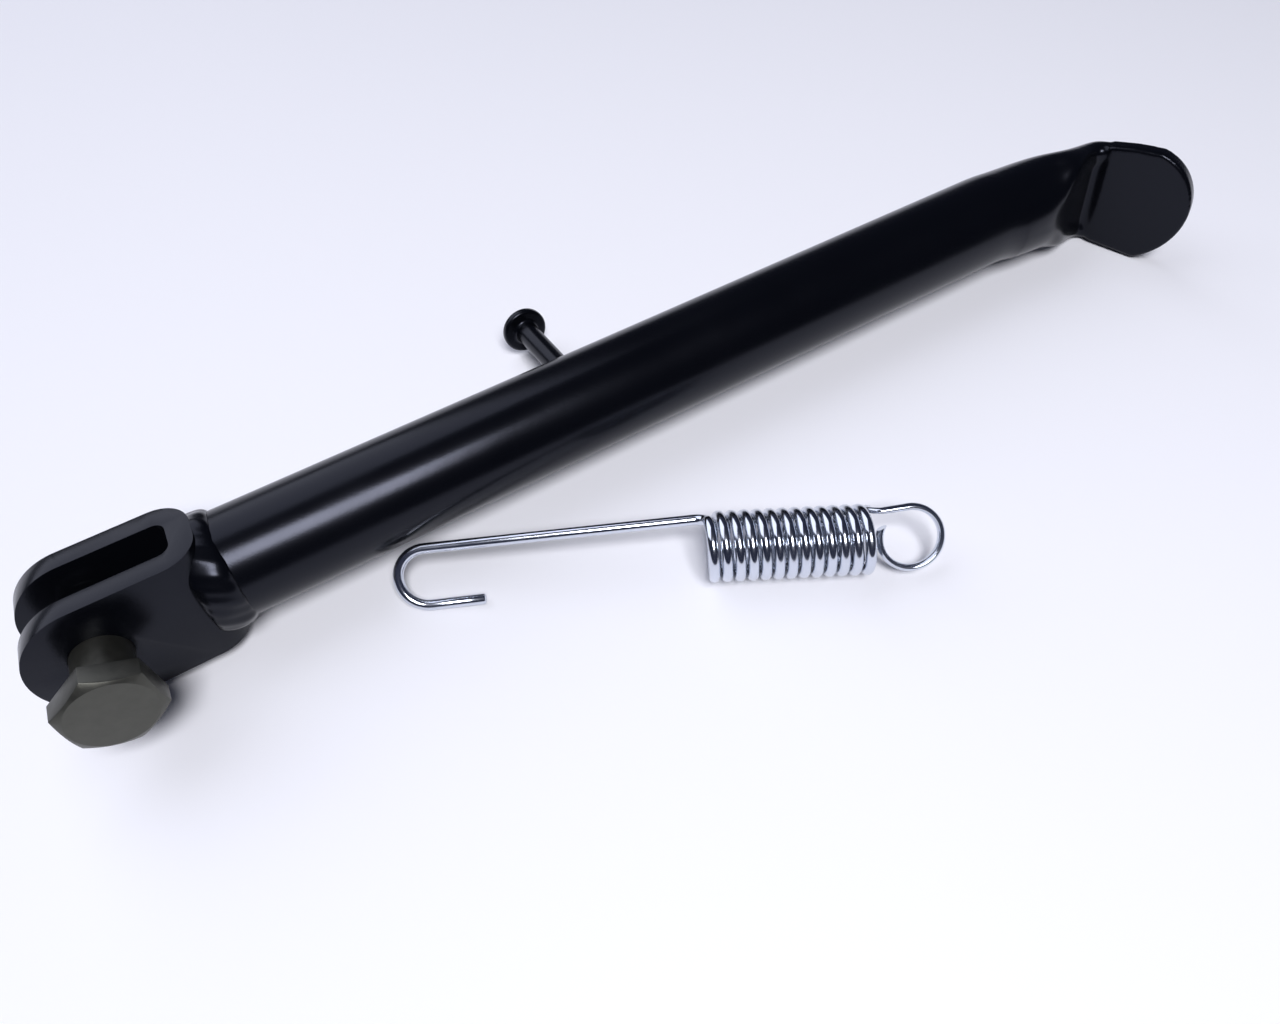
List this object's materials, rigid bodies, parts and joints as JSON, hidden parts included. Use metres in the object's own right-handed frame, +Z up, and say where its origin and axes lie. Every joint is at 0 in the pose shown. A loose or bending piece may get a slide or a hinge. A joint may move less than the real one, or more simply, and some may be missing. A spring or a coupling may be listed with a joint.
{
  "type": "motorcycle kickstand",
  "caption": "Tubular side stand leg with a forked clevis, pressed foot and spring post, with its hex pivot bolt and hooked return spring.",
  "frame": {"origin": "the middle of the pivot bore, midway between the clevis ears, 15.86 mm above the surface that the object lies on", "axes": "+X along the leg from pivot to foot, +Y away from the pivot bolt's head, +Z up from the resting surface"},
  "size_m": [0.3167, 0.1161, 0.032],
  "materials": {
    "black_paint": "gloss black enamel",
    "bolt_steel": "satin grey phosphate",
    "spring_zinc": "bright zinc plate"
  },
  "bodies": {
    "bolt": {"pivot_bolt": "bolt_steel"},
    "leg": {"clevis_bracket": "black_paint", "clevis_weld": "black_paint", "leg_tube": "black_paint", "foot_pad": "black_paint", "spring_post": "black_paint", "post_weld": "black_paint"},
    "spring": {"spring_hook": "spring_zinc", "spring_coil": "spring_zinc"},
    "eye": {"spring_eye": "spring_zinc"}
  },
  "joints": [
    {"name": "leg_swing", "type": "hinge", "parent": "bolt", "child": "leg", "pos_m": [0, 0, 0], "axis": [0, -0.9759, 0.2181], "range_deg": [0, 105]},
    {"name": "spring_lift", "type": "slide", "parent": "bolt", "child": "spring", "axis": [0, 0, 1], "range_m": [0, 0.06]},
    {"name": "spring_stretch", "type": "slide", "parent": "spring", "child": "eye", "axis": [0.8846, -0.4664, 0], "range_m": [0, 0.03], "stiffness_N_per_m": 2000, "deforming": ["spring_coil"]}
  ]
}
